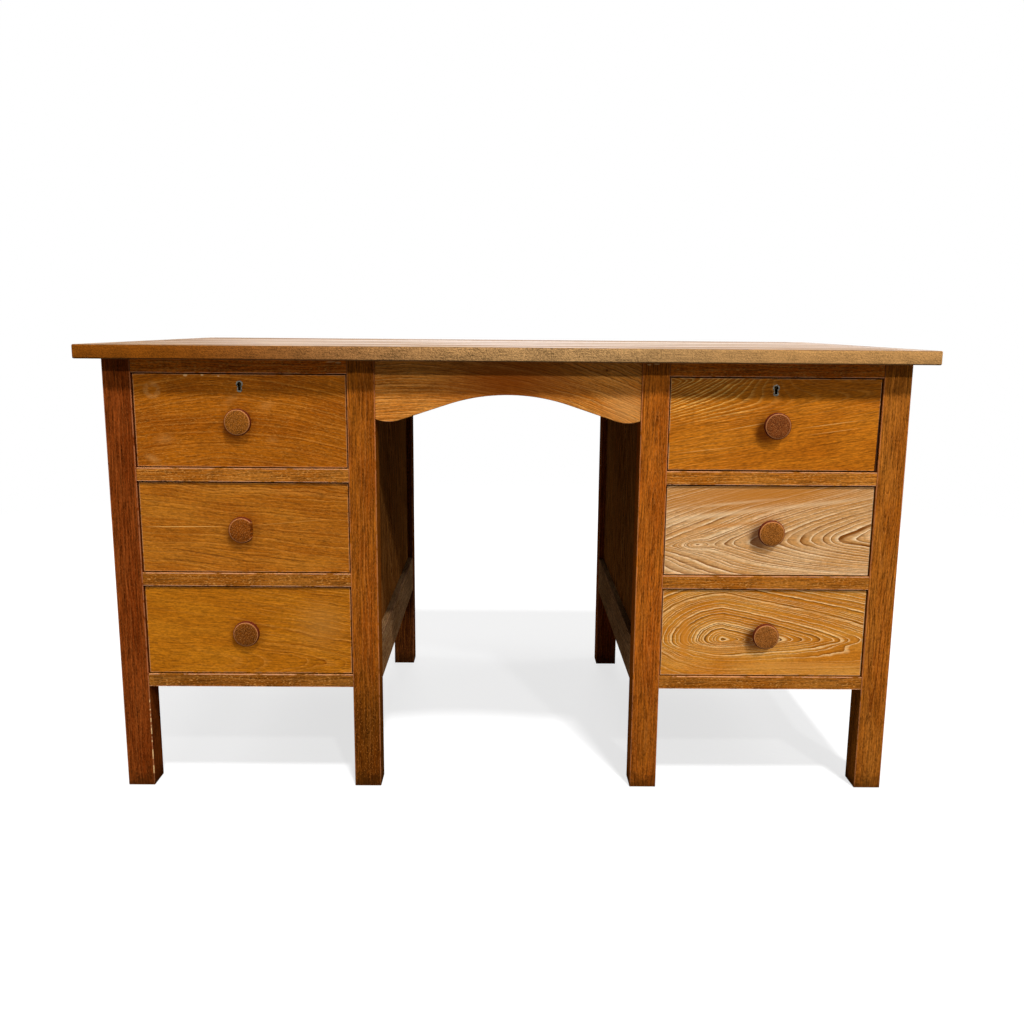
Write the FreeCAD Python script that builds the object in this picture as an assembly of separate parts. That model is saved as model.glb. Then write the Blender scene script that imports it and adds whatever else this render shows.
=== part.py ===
import FreeCAD, Part
import math
import os

os.makedirs("parts", exist_ok=True)

# A kneehole writing desk: two pedestals of three drawers on eight legs, under one plank top.
# The floor is z = 0, the front faces -y, x runs along the length. Sizes are in millimetres.

# Overall
desk_length = 1372.0
desk_depth = 762.0
desk_height = 751.5

# Top: edge-jointed boards, held flat by a grooved cross piece at each end
top_thickness = 22.5
top_rounding = 2.5
board_count = 5
end_width = 40.0
tongue_length = 12.0
tongue_thickness = 7.0
tongue_stop = 25.0
front_overhang = 25.0
back_overhang = 52.0
side_overhang = 35.5

# Pedestals
pedestal_width = 435.5
leg_size = 45.0
arris = 1.0
foot_height = 179.0
drawer_rows = 3
rail_height = 22.0
rail_tenon_length = 15.0
rail_tenon_shoulder = 6.0
rail_tenon_setback = 10.0

# Side and back frames, each two rails round a panel
frame_rail_height = 76.0
frame_rail_thickness = 22.0
frame_tenon_length = 18.0
frame_tenon_thickness = 10.0
frame_tenon_shoulder = 12.0
panel_thickness = 8.0
panel_recess = 12.0
panel_reach = 8.0

# Kneehole apron: a lobe at each leg, a straight flank and a crown arc
apron_thickness = 20.0
apron_setback = 3.0
apron_end_depth = 98.5
apron_middle_depth = 54.0
apron_tenon_thickness = 8.0
apron_tenon_length = 15.0
apron_tenon_shoulder = 12.0
lobe_inset = 21.0
lobe_radius = 60.0
flank_steepness_share = 1.45

# Runners under the drawer sides, guides beside them and stops behind the drawer fronts
runner_ledge = 14.0
guide_height = 20.0
stop_length = 40.0
stop_height = 6.0
stop_depth = 12.0
stop_clearance = 0.3
stop_place_share = 0.25

# Drawers
drawer_gap = 1.5
front_recess = 4.0
front_thickness = 20.0
side_thickness = 12.0
runner_clearance = 0.3
drawer_headroom = 5.0
drawer_end_clearance = 40.0
back_thickness = 12.0
back_drop = 5.0
bottom_thickness = 6.0
bottom_rise = 12.0
bottom_groove = 5.0
front_lap = 6.0
tail_count = 4
tail_width_share = 0.55
tail_slope_share = 0.15

# Knobs, turned with a spigot that is glued through the drawer front
knob_radius = 21.75
knob_projection = 26.0
knob_neck_radius = 13.0
knob_neck_length = 10.0
knob_rim_thickness = 9.0
knob_bevel = 1.6
knob_dome = 1.0
spigot_radius = 6.0
knob_hollow_share = 0.35

# Drawer locks
case_width = 60.0
case_height = 38.0
case_thickness = 9.0
case_wall = 1.8
bolt_width = 22.0
bolt_thickness = 4.8
bolt_drop = 0.4
bolt_clearance = 0.3
bolt_travel = 7.0
mortise_play = 2.0
mortise_floor_gap = 3.0
keyhole_drop = 20.0
keyhole_radius = 3.4
keyhole_slot_width = 4.4
keyhole_slot_length = 6.8
keyhole_rise = 4.0
talon_radius = 6.5
escutcheon_head_radius = 5.6
escutcheon_foot_radius = 4.4
escutcheon_foot_drop = 9.0
escutcheon_waist = 6.6
escutcheon_thickness = 2.5
escutcheon_proud = 0.3

# Slotted screws up through the kickers into the top
screws_per_kicker = 3
screw_end_share = 0.12
screw_radius = 2.2
screw_reach = 13.0
screw_head_radius = 4.2
screw_head_height = 2.8
screw_slot_width = 1.0
screw_slot_depth = 1.2
counterbore_radius = 5.0
counterbore_depth = 9.0

# Levels and faces that the pieces share
half_length = desk_length / 2
half_depth = desk_depth / 2
underside = desk_height - top_thickness
body_half = half_length - side_overhang
front_face = front_overhang - half_depth
back_face = half_depth - back_overhang
opening_height = (underside - foot_height - (drawer_rows + 1) * rail_height) / drawer_rows
opening_width = pedestal_width - 2 * leg_size
kneehole_half = body_half - pedestal_width
frame_y = (front_face + leg_size, back_face - leg_size)
frame_inner = arris + frame_rail_thickness


def span_box(x, y, z):
    corner = FreeCAD.Vector(min(x), min(y), min(z))
    return Part.makeBox(abs(x[1] - x[0]), abs(y[1] - y[0]), abs(z[1] - z[0]), corner)


def grow(span, amount):
    return (span[0] - amount, span[1] + amount)


def about(middle, size):
    return (middle - size / 2, middle + size / 2)


def joined(pieces):
    return pieces[0].fuse(pieces[1:]).removeSplitter()


def save(name, solids):
    whole = solids[0] if len(solids) == 1 else Part.makeCompound(solids)
    whole.exportStep("parts/" + name + ".step")
    print(name, len(solids), round(sum(solid.Volume for solid in solids)))


# A place inside a pedestal is measured from its outer face towards the kneehole.
def pedestal_x(side, span):
    return (side * (body_half - span[0]), side * (body_half - span[1]))


def rail_z(level):
    base = foot_height + level * (rail_height + opening_height)
    return (base, base + rail_height)


def frame_rail_levels():
    return ((foot_height, foot_height + frame_rail_height), (underside - frame_rail_height, underside))


def panel_z():
    lower, upper = frame_rail_levels()
    return grow((lower[1], upper[0]), panel_reach)


def frame_layers(side, inner):
    # the rail, its tenon and the panel, as distances in from the frame's outer face
    middle = arris + frame_rail_thickness / 2
    layers = (
        (arris, frame_inner),
        about(middle, frame_tenon_thickness),
        (panel_recess, panel_recess + panel_thickness),
    )
    if inner:
        layers = tuple((pedestal_width - low, pedestal_width - high) for low, high in layers)
    return tuple(pedestal_x(side, layer) for layer in layers)


def make_side_frame(side, inner):
    rail_x, tenon_x, panel_x = frame_layers(side, inner)
    panel = span_box(panel_x, grow(frame_y, panel_reach), panel_z())
    rails = []
    for z in frame_rail_levels():
        body = span_box(rail_x, frame_y, z)
        tenon = span_box(tenon_x, grow(frame_y, frame_tenon_length), grow(z, -frame_tenon_shoulder))
        rails.append(joined([body, tenon]).cut(panel))
    return rails, panel


def make_back_frame(side):
    x = (leg_size, pedestal_width - leg_size)
    y = (back_face - frame_inner, back_face - arris)
    tenon_y = about(sum(y) / 2, frame_tenon_thickness)
    panel_y = (back_face - panel_recess - panel_thickness, back_face - panel_recess)
    panel = span_box(pedestal_x(side, grow(x, panel_reach)), panel_y, panel_z())
    rails = []
    for z in frame_rail_levels():
        body = span_box(pedestal_x(side, x), y, z)
        tenon_x = pedestal_x(side, grow(x, frame_tenon_length))
        tenon = span_box(tenon_x, tenon_y, grow(z, -frame_tenon_shoulder))
        rails.append(joined([body, tenon]).cut(panel))
    return rails, panel


def make_front_rail(side, level):
    x = (leg_size, pedestal_width - leg_size)
    y = (front_face + arris, front_face + leg_size)
    z = rail_z(level)
    body = span_box(pedestal_x(side, x), y, z)
    tenon_x = pedestal_x(side, grow(x, rail_tenon_length))
    tenon = span_box(tenon_x, grow(y, -rail_tenon_setback), grow(z, -rail_tenon_shoulder))
    return joined([body, tenon])


def make_runners(side):
    runners = []
    kickers = []
    guides = []
    for level in range(drawer_rows + 1):
        for inner in (False, True):
            shelf = (frame_inner, leg_size + runner_ledge)
            fence = (frame_inner, leg_size)
            if inner:
                shelf = (pedestal_width - shelf[0], pedestal_width - shelf[1])
                fence = (pedestal_width - fence[0], pedestal_width - fence[1])
            strip = span_box(pedestal_x(side, shelf), frame_y, rail_z(level))
            if level == drawer_rows:
                kickers.append(strip)
                continue
            runners.append(strip)
            floor = rail_z(level)[1]
            guides.append(span_box(pedestal_x(side, fence), frame_y, (floor, floor + guide_height)))
    return runners, guides, kickers


def make_leg(side, inner, back):
    x = (pedestal_width - leg_size, pedestal_width) if inner else (0, leg_size)
    y = (back_face - leg_size, back_face) if back else (front_face, front_face + leg_size)
    leg = span_box(pedestal_x(side, x), y, (0, underside))
    worn = [edge for edge in leg.Edges if edge.BoundBox.ZMin < underside / 2]
    return leg.makeFillet(arris, worn)


def apron_outline():
    # the flank's slope follows the apron's mean slope, and the crown arc meets it at a tangent
    low = underside - apron_end_depth
    top = underside - apron_middle_depth
    lobe_x = kneehole_half - lobe_inset
    slope = math.atan(flank_steepness_share * (top - low) / lobe_x)
    foot_x = lobe_x - lobe_radius * math.sin(slope)
    foot_z = low + lobe_radius * (1 - math.cos(slope))
    crown_radius = (foot_x * math.tan(slope) - (top - foot_z)) / (1 / math.cos(slope) - 1)
    crown_x = crown_radius * math.sin(slope)
    crown_z = top - crown_radius * (1 - math.cos(slope))
    heel_z = low + lobe_radius - math.sqrt(lobe_radius**2 - lobe_inset**2)
    return {
        "heel": (kneehole_half, heel_z),
        "lobe": (lobe_x, low),
        "foot": (foot_x, foot_z),
        "crown": (crown_x, crown_z),
        "top": (0, top),
    }


def make_apron():
    y = (front_face + apron_setback, front_face + apron_setback + apron_thickness)
    shape = apron_outline()

    def point(name, sign=1):
        return FreeCAD.Vector(sign * shape[name][0], y[0], shape[name][1])

    right_top = FreeCAD.Vector(kneehole_half, y[0], underside)
    left_top = FreeCAD.Vector(-kneehole_half, y[0], underside)
    edges = [
        Part.LineSegment(left_top, right_top),
        Part.LineSegment(right_top, point("heel")),
        Part.Arc(point("heel"), point("lobe"), point("foot")),
        Part.LineSegment(point("foot"), point("crown")),
        Part.Arc(point("crown"), point("top"), point("crown", -1)),
        Part.LineSegment(point("crown", -1), point("foot", -1)),
        Part.Arc(point("foot", -1), point("lobe", -1), point("heel", -1)),
        Part.LineSegment(point("heel", -1), left_top),
    ]
    face = Part.Face(Part.Wire([edge.toShape() for edge in edges]))
    board = face.extrude(FreeCAD.Vector(0, apron_thickness, 0))
    end_z = (shape["heel"][1], underside)
    tenon_y = about(sum(y) / 2, apron_tenon_thickness)
    tenons = []
    for sign in (-1, 1):
        x = (sign * kneehole_half, sign * (kneehole_half + apron_tenon_length))
        tenons.append(span_box(x, tenon_y, grow(end_z, -apron_tenon_shoulder)))
    return joined([board] + tenons)


def make_kneehole_back_rail():
    x = (-kneehole_half, kneehole_half)
    y = (back_face - frame_inner, back_face - arris)
    z = frame_rail_levels()[1]
    body = span_box(x, y, z)
    tenon_y = about(sum(y) / 2, frame_tenon_thickness)
    tenon = span_box(grow(x, frame_tenon_length), tenon_y, grow(z, -frame_tenon_shoulder))
    return joined([body, tenon])


def make_top():
    z = (underside, desk_height)
    inner = half_length - end_width
    slab = span_box((-half_length, half_length), (-half_depth, half_depth), z)
    slab = slab.makeFillet(top_rounding, slab.Edges)
    tongue_x = (-inner - tongue_length, inner + tongue_length)
    tongue_y = grow((-half_depth, half_depth), -tongue_stop)
    tongue = span_box(tongue_x, tongue_y, about(sum(z) / 2, tongue_thickness))
    field = slab.common(span_box((-inner, inner), (-half_depth, half_depth), z))
    field = joined([field, tongue])
    boards = []
    for index in range(board_count):
        low = -half_depth + index * desk_depth / board_count
        strip = span_box(tongue_x, (low, low + desk_depth / board_count), z)
        boards.append(field.common(strip))
    ends = []
    for sign in (-1, 1):
        end = slab.common(span_box((sign * inner, sign * half_length), (-half_depth, half_depth), z))
        ends.append(end.cut(tongue))
    return boards, ends


def upright(radius, height, x, y, z):
    return Part.makeCylinder(radius, height, FreeCAD.Vector(x, y, z))


def screw_places(side):
    places = []
    length = frame_y[1] - frame_y[0]
    for inner in (False, True):
        across = (frame_inner + leg_size + runner_ledge) / 2
        x = pedestal_x(side, (pedestal_width - across, across) if inner else (across, across))[0]
        for index in range(screws_per_kicker):
            share = screw_end_share + (1 - 2 * screw_end_share) * index / max(screws_per_kicker - 1, 1)
            places.append((x, frame_y[0] + length * share))
    return places


def make_screw(x, y):
    seat = rail_z(drawer_rows)[0] + counterbore_depth
    shank = upright(screw_radius, underside + screw_reach - seat, x, y, seat)
    head = upright(screw_head_radius, screw_head_height, x, y, seat - screw_head_height)
    slot_z = (seat - screw_head_height, seat - screw_head_height + screw_slot_depth)
    slot = span_box(about(x, 2 * screw_head_radius), about(y, screw_slot_width), slot_z)
    return joined([shank, head]).cut(slot)


def bore_kicker(kicker, places):
    base = rail_z(drawer_rows)[0]
    for x, y in places:
        kicker = kicker.cut(upright(counterbore_radius, counterbore_depth, x, y, base))
        kicker = kicker.cut(upright(screw_radius, rail_height, x, y, base))
    return kicker


def dovetails(x, root_y, tip_y, z):
    # tails that widen from their root to their tip, spread evenly over a height
    pitch = (z[1] - z[0]) / tail_count
    root = pitch * tail_width_share / 2
    tip = root + tail_slope_share * abs(tip_y - root_y)
    tails = []
    for index in range(tail_count):
        middle = z[0] + pitch * (2 * index + 1) / 2
        lower = ((root_y, middle - root), (tip_y, middle - tip))
        upper = ((tip_y, middle + tip), (root_y, middle + root))
        points = [FreeCAD.Vector(min(x), y, height) for y, height in lower + upper]
        outline = Part.makePolygon(points + points[:1])
        tails.append(Part.Face(outline).extrude(FreeCAD.Vector(max(x) - min(x), 0, 0)))
    return tails


def drawer_spans(centre, row):
    # row 0 is the top drawer
    floor = rail_z(drawer_rows - 1 - row)[1]
    width = opening_width - 2 * drawer_gap
    return {
        "x": about(centre, width),
        "front_y": (front_face + front_recess, front_face + front_recess + front_thickness),
        "front_z": grow((floor, floor + opening_height), -drawer_gap),
        "back_y": back_face - frame_inner - drawer_end_clearance,
        "side_z": (floor + runner_clearance, floor + opening_height - drawer_headroom),
        "middle": (centre, floor + opening_height / 2),
    }


def make_drawer(centre, row):
    spans = drawer_spans(centre, row)
    x = spans["x"]
    side_z = spans["side_z"]
    front_back = spans["front_y"][1]
    bottom_z = (side_z[0] + bottom_rise, side_z[0] + bottom_rise + bottom_thickness)
    back_y = (spans["back_y"] - back_thickness, spans["back_y"])
    back_z = (bottom_z[1], side_z[1] - back_drop)
    bottom_x = grow(x, bottom_groove - side_thickness)
    bottom = span_box(bottom_x, (front_back - bottom_groove, spans["back_y"]), bottom_z)
    front = span_box(x, spans["front_y"], spans["front_z"])
    back = span_box(x, back_y, back_z)
    sides = []
    for edge, inward in ((x[0], side_thickness), (x[1], -side_thickness)):
        side_x = (edge, edge + inward)
        lapped = dovetails(side_x, front_back, spans["front_y"][0] + front_lap, side_z)
        front = front.cut(lapped)
        back = back.cut(dovetails(side_x, back_y[0], back_y[1], back_z))
        plank = span_box(side_x, (front_back, spans["back_y"]), side_z)
        sides.append(joined([plank] + lapped))
    sides = [side.cut(back).cut(bottom) for side in sides]
    return front.cut(bottom), sides + [back], bottom


def make_knob(centre, row):
    spans = drawer_spans(centre, row)
    face = spans["front_y"][0]
    x, z = spans["middle"]

    def point(radius, out):
        return FreeCAD.Vector(x + radius, face - out, z)

    rim = knob_projection - knob_rim_thickness
    hollow = knob_neck_radius + knob_hollow_share * (knob_radius - knob_neck_radius)
    bevel_out = knob_projection - knob_dome
    corner = point(knob_radius, bevel_out - knob_bevel)
    shoulder = point(knob_radius - knob_bevel, bevel_out)
    edges = [
        Part.LineSegment(point(0, -front_thickness), point(spigot_radius, -front_thickness)),
        Part.LineSegment(point(spigot_radius, -front_thickness), point(spigot_radius, 0)),
        Part.LineSegment(point(spigot_radius, 0), point(knob_neck_radius, 0)),
        Part.Arc(point(knob_neck_radius, 0), point(hollow, knob_neck_length), point(knob_radius, rim)),
        Part.LineSegment(point(knob_radius, rim), corner),
        Part.LineSegment(corner, shoulder),
    ]
    crown = point(0, knob_projection)
    # the face is a shallow dome, so its arc runs through the mirrored rim point
    across = point(knob_bevel - knob_radius, bevel_out)
    dome = Part.Arc(shoulder, crown, across)
    quarter = Part.Arc(shoulder, dome.value(dome.LastParameter / 4), crown)
    edges += [quarter, Part.LineSegment(crown, point(0, -front_thickness))]
    face_shape = Part.Face(Part.Wire([edge.toShape() for edge in edges]))
    return face_shape.revolve(FreeCAD.Vector(x, face, z), FreeCAD.Vector(0, 1, 0), 360)


def along_y(radius, x, y, z):
    return Part.makeCylinder(radius, y[1] - y[0], FreeCAD.Vector(x, y[0], z), FreeCAD.Vector(0, 1, 0))


def keyhole(x, y, z):
    eye_z = z + keyhole_rise
    eye = along_y(keyhole_radius, x, y, eye_z)
    slot_z = (eye_z - keyhole_radius - keyhole_slot_length, eye_z)
    slot = span_box(about(x, keyhole_slot_width), y, slot_z)
    return joined([eye, slot])


def escutcheon_block(x, y, z):
    head = along_y(escutcheon_head_radius, x, y, z + keyhole_rise)
    foot_z = z + keyhole_rise - escutcheon_foot_drop
    foot = along_y(escutcheon_foot_radius, x, y, foot_z)
    waist = span_box(about(x, escutcheon_waist), y, (foot_z, z + keyhole_rise))
    return joined([head, foot, waist])


def make_lock(centre):
    spans = drawer_spans(centre, 0)
    x = centre
    top = spans["front_z"][1]
    face, rear = spans["front_y"]
    key_z = top - keyhole_drop
    case_y = (rear - case_thickness, rear)
    bolt_y = about(sum(case_y) / 2, bolt_thickness)
    floor = top - case_height + case_wall
    case = span_box(about(x, case_width), case_y, (top - case_height, top))
    chamber_x = grow(about(x, bolt_width), bolt_clearance)
    chamber = span_box(chamber_x, grow(bolt_y, bolt_clearance), (floor, top))
    case_keyhole = keyhole(x, (case_y[0], bolt_y[0]), key_z)
    bolt = span_box(about(x, bolt_width), bolt_y, (floor, top - bolt_drop))
    talon = along_y(talon_radius, x, bolt_y, key_z + keyhole_rise - keyhole_radius)
    plate_y = (face - escutcheon_proud, face - escutcheon_proud + escutcheon_thickness)
    plate = escutcheon_block(x, plate_y, key_z)
    wood_keyhole = keyhole(x, (face - escutcheon_proud, case_y[0]), key_z)
    mortise_x = grow(about(x, bolt_width), mortise_play)
    rail_base = rail_z(drawer_rows)[0]
    mortise_z = (rail_base, rail_base + bolt_travel + mortise_floor_gap)
    return {
        "case": case.cut(chamber).cut(case_keyhole),
        "bolt": bolt.cut(talon),
        "escutcheon": plate.cut(wood_keyhole),
        "front_cuts": [case, wood_keyhole, plate],
        "mortise": span_box(mortise_x, grow(bolt_y, mortise_play), mortise_z),
    }


def make_stops(centre):
    width = opening_width - 2 * drawer_gap
    stops = []
    for row in range(drawer_rows):
        spans = drawer_spans(centre, row)
        floor = rail_z(drawer_rows - 1 - row)[1]
        start = spans["front_y"][1] + stop_clearance
        for share in (-stop_place_share, stop_place_share):
            x = about(centre + share * width, stop_length)
            stops.append(span_box(x, (start, start + stop_depth), (floor, floor + stop_height)))
    return stops


apron = make_apron()
kneehole_back_rail = make_kneehole_back_rail()
save("arched_apron", [apron])
save("kneehole_back_rail", [kneehole_back_rail])

row_names = ("top", "middle", "bottom")
boards, ends = make_top()
back_rails = []
back_panels = []
screws = []
stops = []

for name, side in (("left", -1), ("right", 1)):
    centre = side * (body_half - pedestal_width / 2)
    places = screw_places(side)
    mates = [apron, kneehole_back_rail]

    for inner in (False, True):
        frame_name = name + ("_inner" if inner else "_outer")
        rails, panel = make_side_frame(side, inner)
        save(frame_name + "_side_rails", rails)
        save(frame_name + "_side_panel", [panel])
        mates += rails + [panel]

    rails, panel = make_back_frame(side)
    back_rails += rails
    back_panels.append(panel)
    mates += rails + [panel]

    lock = make_lock(centre)
    front_rails = [make_front_rail(side, level) for level in range(drawer_rows + 1)]
    top_rail = front_rails[-1].cut(lock["mortise"])
    save(name + "_top_rail", [top_rail])
    save(name + "_drawer_rails", front_rails[:-1])
    mates += front_rails

    runners, guides, kickers = make_runners(side)
    kickers = [bore_kicker(kicker, places) for kicker in kickers]
    save(name + "_drawer_runners", runners + guides + kickers)
    stops += make_stops(centre)

    for x, y in places:
        screw = make_screw(x, y)
        screws.append(screw)
        boards = [board.cut(screw) for board in boards]

    for inner in (False, True):
        for back in (False, True):
            leg_name = name + ("_inner" if inner else "_outer") + ("_back" if back else "_front") + "_leg"
            save(leg_name, [make_leg(side, inner, back).cut(mates)])

    for row, row_name in enumerate(row_names):
        drawer_name = name + "_" + row_name + "_drawer"
        front, box, bottom = make_drawer(centre, row)
        knob = make_knob(centre, row)
        front = front.cut(knob)
        if row == 0:
            front = front.cut(lock["front_cuts"])
            save(name + "_lock_case", [lock["case"]])
            save(name + "_lock_bolt", [lock["bolt"]])
            save(name + "_escutcheon", [lock["escutcheon"]])
        save(drawer_name + "_front", [front])
        save(drawer_name + "_box", box)
        save(drawer_name + "_bottom", [bottom])
        save(drawer_name + "_knob", [knob])

save("back_rails", back_rails)
save("back_panels", back_panels)
save("drawer_stops", stops)
save("top_screws", screws)
save("top_boards", boards)
save("top_ends", ends)
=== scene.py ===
import math
import bpy
from mathutils import Matrix, Vector, noise


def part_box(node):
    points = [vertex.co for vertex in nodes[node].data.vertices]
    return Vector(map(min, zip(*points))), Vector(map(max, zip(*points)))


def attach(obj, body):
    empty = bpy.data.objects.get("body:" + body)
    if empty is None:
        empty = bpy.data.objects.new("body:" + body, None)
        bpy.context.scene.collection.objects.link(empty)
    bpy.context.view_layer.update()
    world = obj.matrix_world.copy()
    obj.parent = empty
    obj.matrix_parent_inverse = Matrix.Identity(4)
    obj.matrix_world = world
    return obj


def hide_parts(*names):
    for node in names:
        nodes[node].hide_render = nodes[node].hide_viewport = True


# A kneehole desk in old oak and elm: its woods, metals, knobs, camera and light, around the solid model.
# Objects are in metres with the front towards -Y. The grain is worked out in millimetres.

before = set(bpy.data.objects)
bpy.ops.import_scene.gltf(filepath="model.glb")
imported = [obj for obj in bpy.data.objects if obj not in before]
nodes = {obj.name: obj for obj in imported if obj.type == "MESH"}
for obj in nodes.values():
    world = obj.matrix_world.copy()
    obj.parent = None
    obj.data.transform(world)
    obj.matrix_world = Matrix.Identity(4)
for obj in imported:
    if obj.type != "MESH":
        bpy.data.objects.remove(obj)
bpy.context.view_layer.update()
mm = 0.001
print("frame loaded:", len(nodes), "nodes")


class Value:  # a socket, so that shader sums read as sums
    def __init__(self, shader, socket):
        self.shader = shader
        self.socket = socket

    def __add__(self, other):
        return self.shader.math("ADD", self, other)

    def __radd__(self, other):
        return self.shader.math("ADD", other, self)

    def __sub__(self, other):
        return self.shader.math("SUBTRACT", self, other)

    def __rsub__(self, other):
        return self.shader.math("SUBTRACT", other, self)

    def __mul__(self, other):
        return self.shader.math("MULTIPLY", self, other)

    def __rmul__(self, other):
        return self.shader.math("MULTIPLY", other, self)

    def __truediv__(self, other):
        return self.shader.math("DIVIDE", self, other)

    def __abs__(self):
        return self.shader.math("ABSOLUTE", self)

    def floor(self):
        return self.shader.math("FLOOR", self)

    def fraction(self):
        return self.shader.math("FRACT", self)

    def root(self):
        return self.shader.math("SQRT", self)

    def least(self, other):
        return self.shader.math("MINIMUM", self, other)

    def most(self, other):
        return self.shader.math("MAXIMUM", self, other)

    def above(self, level):
        return self.shader.math("GREATER_THAN", self, level)

    def diagonal(self, other):  # the distance to a point this far away and the other across
        return (self * self + other * other).root()

    def ease(self, start, end, first=0.0, last=1.0):  # eases from first to last between start and end
        reach = {"Value": self, "From Min": start, "From Max": end, "To Min": first, "To Max": last}
        return self.shader.node("ShaderNodeMapRange", {"interpolation_type": "SMOOTHSTEP"}, reach)

    def spread(self, low=0.3, high=0.7):  # soft noise stretched to run from -0.5 to 0.5
        return self.ease(low, high) - 0.5


class Shader:  # a node tree that is written as Python
    def __init__(self, tree):
        self.tree = tree
        tree.nodes.clear()

    def node(self, kind, settings, sockets, output=0):
        made = self.tree.nodes.new(kind)
        for key, value in settings.items():
            setattr(made, key, value)
        for key, value in sockets.items():
            if isinstance(value, Value):
                self.tree.links.new(value.socket, made.inputs[key])
            else:
                made.inputs[key].default_value = value
        return Value(self, made.outputs[output]) if made.outputs else None

    def math(self, operation, *values):
        return self.node("ShaderNodeMath", {"operation": operation}, dict(enumerate(values)))

    def join(self, x, y, z):
        return self.node("ShaderNodeCombineXYZ", {}, {0: x, 1: y, 2: z})

    def cloud(self, place, scale, detail=2.0, roughness=0.5):  # soft noise about 0.5
        sockets = {"Vector": place, "Scale": scale, "Detail": detail, "Roughness": roughness}
        return self.node("ShaderNodeTexNoise", {}, sockets)

    def grain(self, place, size, detail=1.0):  # soft noise of a length and a width in millimetres
        along, across, deep = place
        length, width = size
        return self.cloud(self.join(along / length, across / width, deep / width), 1.0, detail)

    def along(self, value, scale, detail=1.0):  # noise that changes with one value only
        sockets = {"W": value, "Scale": scale, "Detail": detail}
        return self.node("ShaderNodeTexNoise", {"noise_dimensions": "1D"}, sockets)

    def chance(self, value):  # one random number for each whole value
        return self.node("ShaderNodeTexWhiteNoise", {"noise_dimensions": "1D"}, {"W": value})

    def mix(self, amount, first, second, blend="MIX"):
        settings = {"data_type": "RGBA", "blend_type": blend}
        return self.node("ShaderNodeMix", settings, {0: amount, 6: first, 7: second}, output=2)

    def shade(self, colour, amount):  # a colour times a number
        return self.mix(1.0, colour, amount, blend="MULTIPLY")

    def place(self):  # the object's own coordinates in millimetres
        point = self.node("ShaderNodeTexCoord", {}, {}, output=3)
        parts = self.node("ShaderNodeSeparateXYZ", {}, {0: point}).socket.node.outputs
        return [Value(self, part) / mm for part in parts]


def paint(red, green, blue):  # a colour written as 0 to 255 in a picture
    shares = [channel / 255 for channel in (red, green, blue)]
    return tuple(s / 12.92 if s <= 0.04045 else ((s + 0.055) / 1.055) ** 2.4 for s in shares) + (1.0,)


def newMaterial(name):
    material = bpy.data.materials.new(name)
    material.use_nodes = True
    return material, Shader(material.node_tree)


def finishMaterial(shader, colour, roughness, height, others):
    bump = shader.node("ShaderNodeBump", {}, {"Distance": mm, "Strength": 1.0, "Height": height})
    sockets = {"Base Color": colour, "Roughness": roughness, "Normal": bump, **others}
    surface = shader.node("ShaderNodeBsdfPrincipled", {}, sockets)
    shader.node("ShaderNodeOutputMaterial", {}, {"Surface": surface})


# Wood
# Growth rings are shells about a line through the tree. "eye" is where that line comes nearest to the face,
# along and across from the middle of the piece, and "buried" is how far behind the face it lies there. To the
# left and right of the eye it sinks by "round" and the rings narrow by "stretch". "squeeze" packs the rings
# below and above the eye, "flatten" straightens them there, and "lean" and "bend" slope and curve the line,
# and the fine grain with it. "pack" crowds the rings just below the eye. Each dimple makes a small closed
# ring: along, across, reach, depth. "fade" and "fadeLow" weaken the rings along and across the piece.
# "tones" holds the lowest copy's tone and the step to the next, and "lowShade" darkens one end. "turnPast" is
# how thick the back of a drawer box is, where the grain runs the other way.
woodLook = {
    "ground": (176, 104, 28),
    "second": (160, 86, 16),
    "pale": (214, 150, 74),
    "line": (128, 68, 14),
    "pore": (84, 40, 8),
    "worn": (206, 150, 108),
    "eye": (0, 220),
    "round": (0.0, 0.0),
    "stretch": (0.02, 0.02),
    "squeeze": (1.0, 1.0),
    "flatten": (0.0, 0.0),
    "pack": None,
    "dimples": (),
    "lean": 0.0,
    "bend": 0.0,
    "buried": 40.0,
    "spacing": 5.0,
    "warp": (7.0, 0.8),
    "uneven": 1.6,
    "lineShare": 0.3,
    "lineStrength": 0.5,
    "paleShare": 0.5,
    "paleStrength": 0.4,
    "fade": None,
    "fadeLow": None,
    "figure": 0.5,
    "figureSize": (11.0, 3.2),
    "mottle": 0.3,
    "mottleSize": (5.0, 2.0),
    "fibre": 0.4,
    "pores": 0.3,
    "poreLength": 6.0,
    "flecks": 0.0,
    "fleckSize": (4.0, 1.5),
    "wear": 0.75,
    "wearWidth": 1.6,
    "seam": 0.0,
    "tones": (1.0, 0.0),
    "lowShade": None,
    "roughness": 0.55,
    "gloss": 0.04,
    "wax": 0.0,
    "turnPast": None,
    "seed": 0,
}


def boardPlace(shader, box, copies):
    # millimetres from the middle of the nearest copy, half its size, and the copy's number from the low end
    local, half, pick = [], [], 0.0
    for axis, coordinate in enumerate(shader.place()):
        low, high = (corner[axis] / mm for corner in box)
        count, size = copies.get("xyz"[axis], (1, high - low))
        if count > 1:
            pitch = (high - low - size) / (count - 1)
            index = ((coordinate - low - size / 2) / pitch + 0.5).floor()
            coordinate = coordinate - index * pitch
            pick = index + pick * count
        local.append(coordinate - (low + size / 2))
        half.append(size / 2)
    return local, half, pick


def edgeDistance(local, half):  # the middle one of the three distances to the faces
    a, b, c = [h - abs(coordinate) for coordinate, h in zip(local, half)]
    return a.least(b).most(a.most(b).least(c))


ringLook = {  # how all the rings bend and wander
    "straightAt": 70,
    "dimpleStretch": 0.45,
    "broadStretch": 3,
    "broadScale": 0.016,
    "fineStretch": 2,
    "fineScale": 0.09,
    "warpReach": 4,
}


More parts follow.
